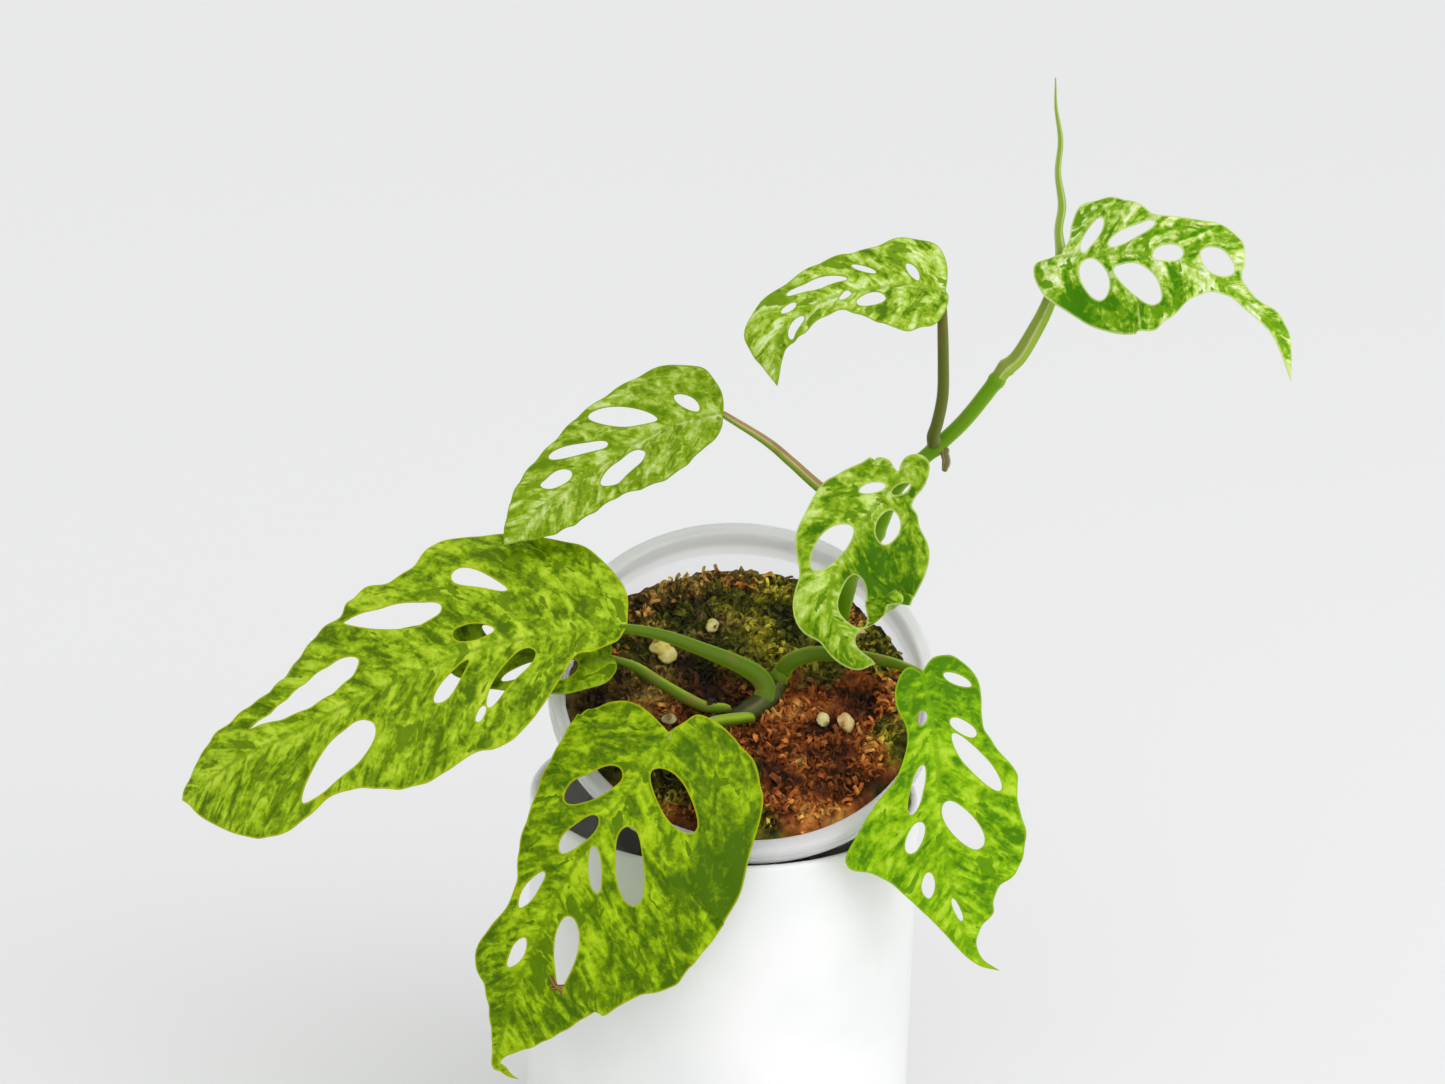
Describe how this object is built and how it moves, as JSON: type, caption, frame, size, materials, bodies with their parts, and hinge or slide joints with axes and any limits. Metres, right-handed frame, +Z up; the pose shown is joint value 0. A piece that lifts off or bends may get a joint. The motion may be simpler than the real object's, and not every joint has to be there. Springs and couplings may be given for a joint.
{
  "type": "potted monstera plant",
  "caption": "Young fenestrated monstera vine in moss, in a translucent nursery pot that leans on the lip of a plain white cylindrical pot cover.",
  "frame": {"origin": "centre of the pot cover's flat base, on the surface it stands on", "axes": "+Z up along the pot cover's axis, -Y the way the nursery pot's rim tips, +X to the side where the vine's top leaf reaches"},
  "size_m": [0.3298, 0.1392, 0.3434],
  "materials": {
    "cover_glaze": "satin white",
    "pot_plastic": "translucent milky polypropylene",
    "moss": "damp sphagnum moss, rust brown with olive patches",
    "chip": "chalky",
    "stem": "smooth, waxy green",
    "bark": "dry brown",
    "leaf": "satin, marbled light and dark green"
  },
  "bodies": {
    "root": {"cachepot": "cover_glaze", "nursery_pot": "pot_plastic", "moss": "moss", "chip_twin": "chip", "chip_back": "chip", "chip_mid": "chip", "chip_right": "chip", "chip_far": "chip", "chip_left": "chip", "vine": "stem", "petiole_top": "stem", "petiole_upper": "stem", "petiole_back": "stem", "petiole_curled": "stem", "petiole_long": "stem", "petiole_side": "stem", "petiole_under": "stem", "petiole_front": "stem", "new_shoot": "leaf", "air_root": "bark", "leaf_long": "leaf", "leaf_under": "leaf", "leaf_front": "leaf", "leaf_side": "leaf", "leaf_back": "leaf", "leaf_curled": "leaf", "leaf_upper": "leaf", "leaf_top": "leaf"}
  },
  "joints": []
}
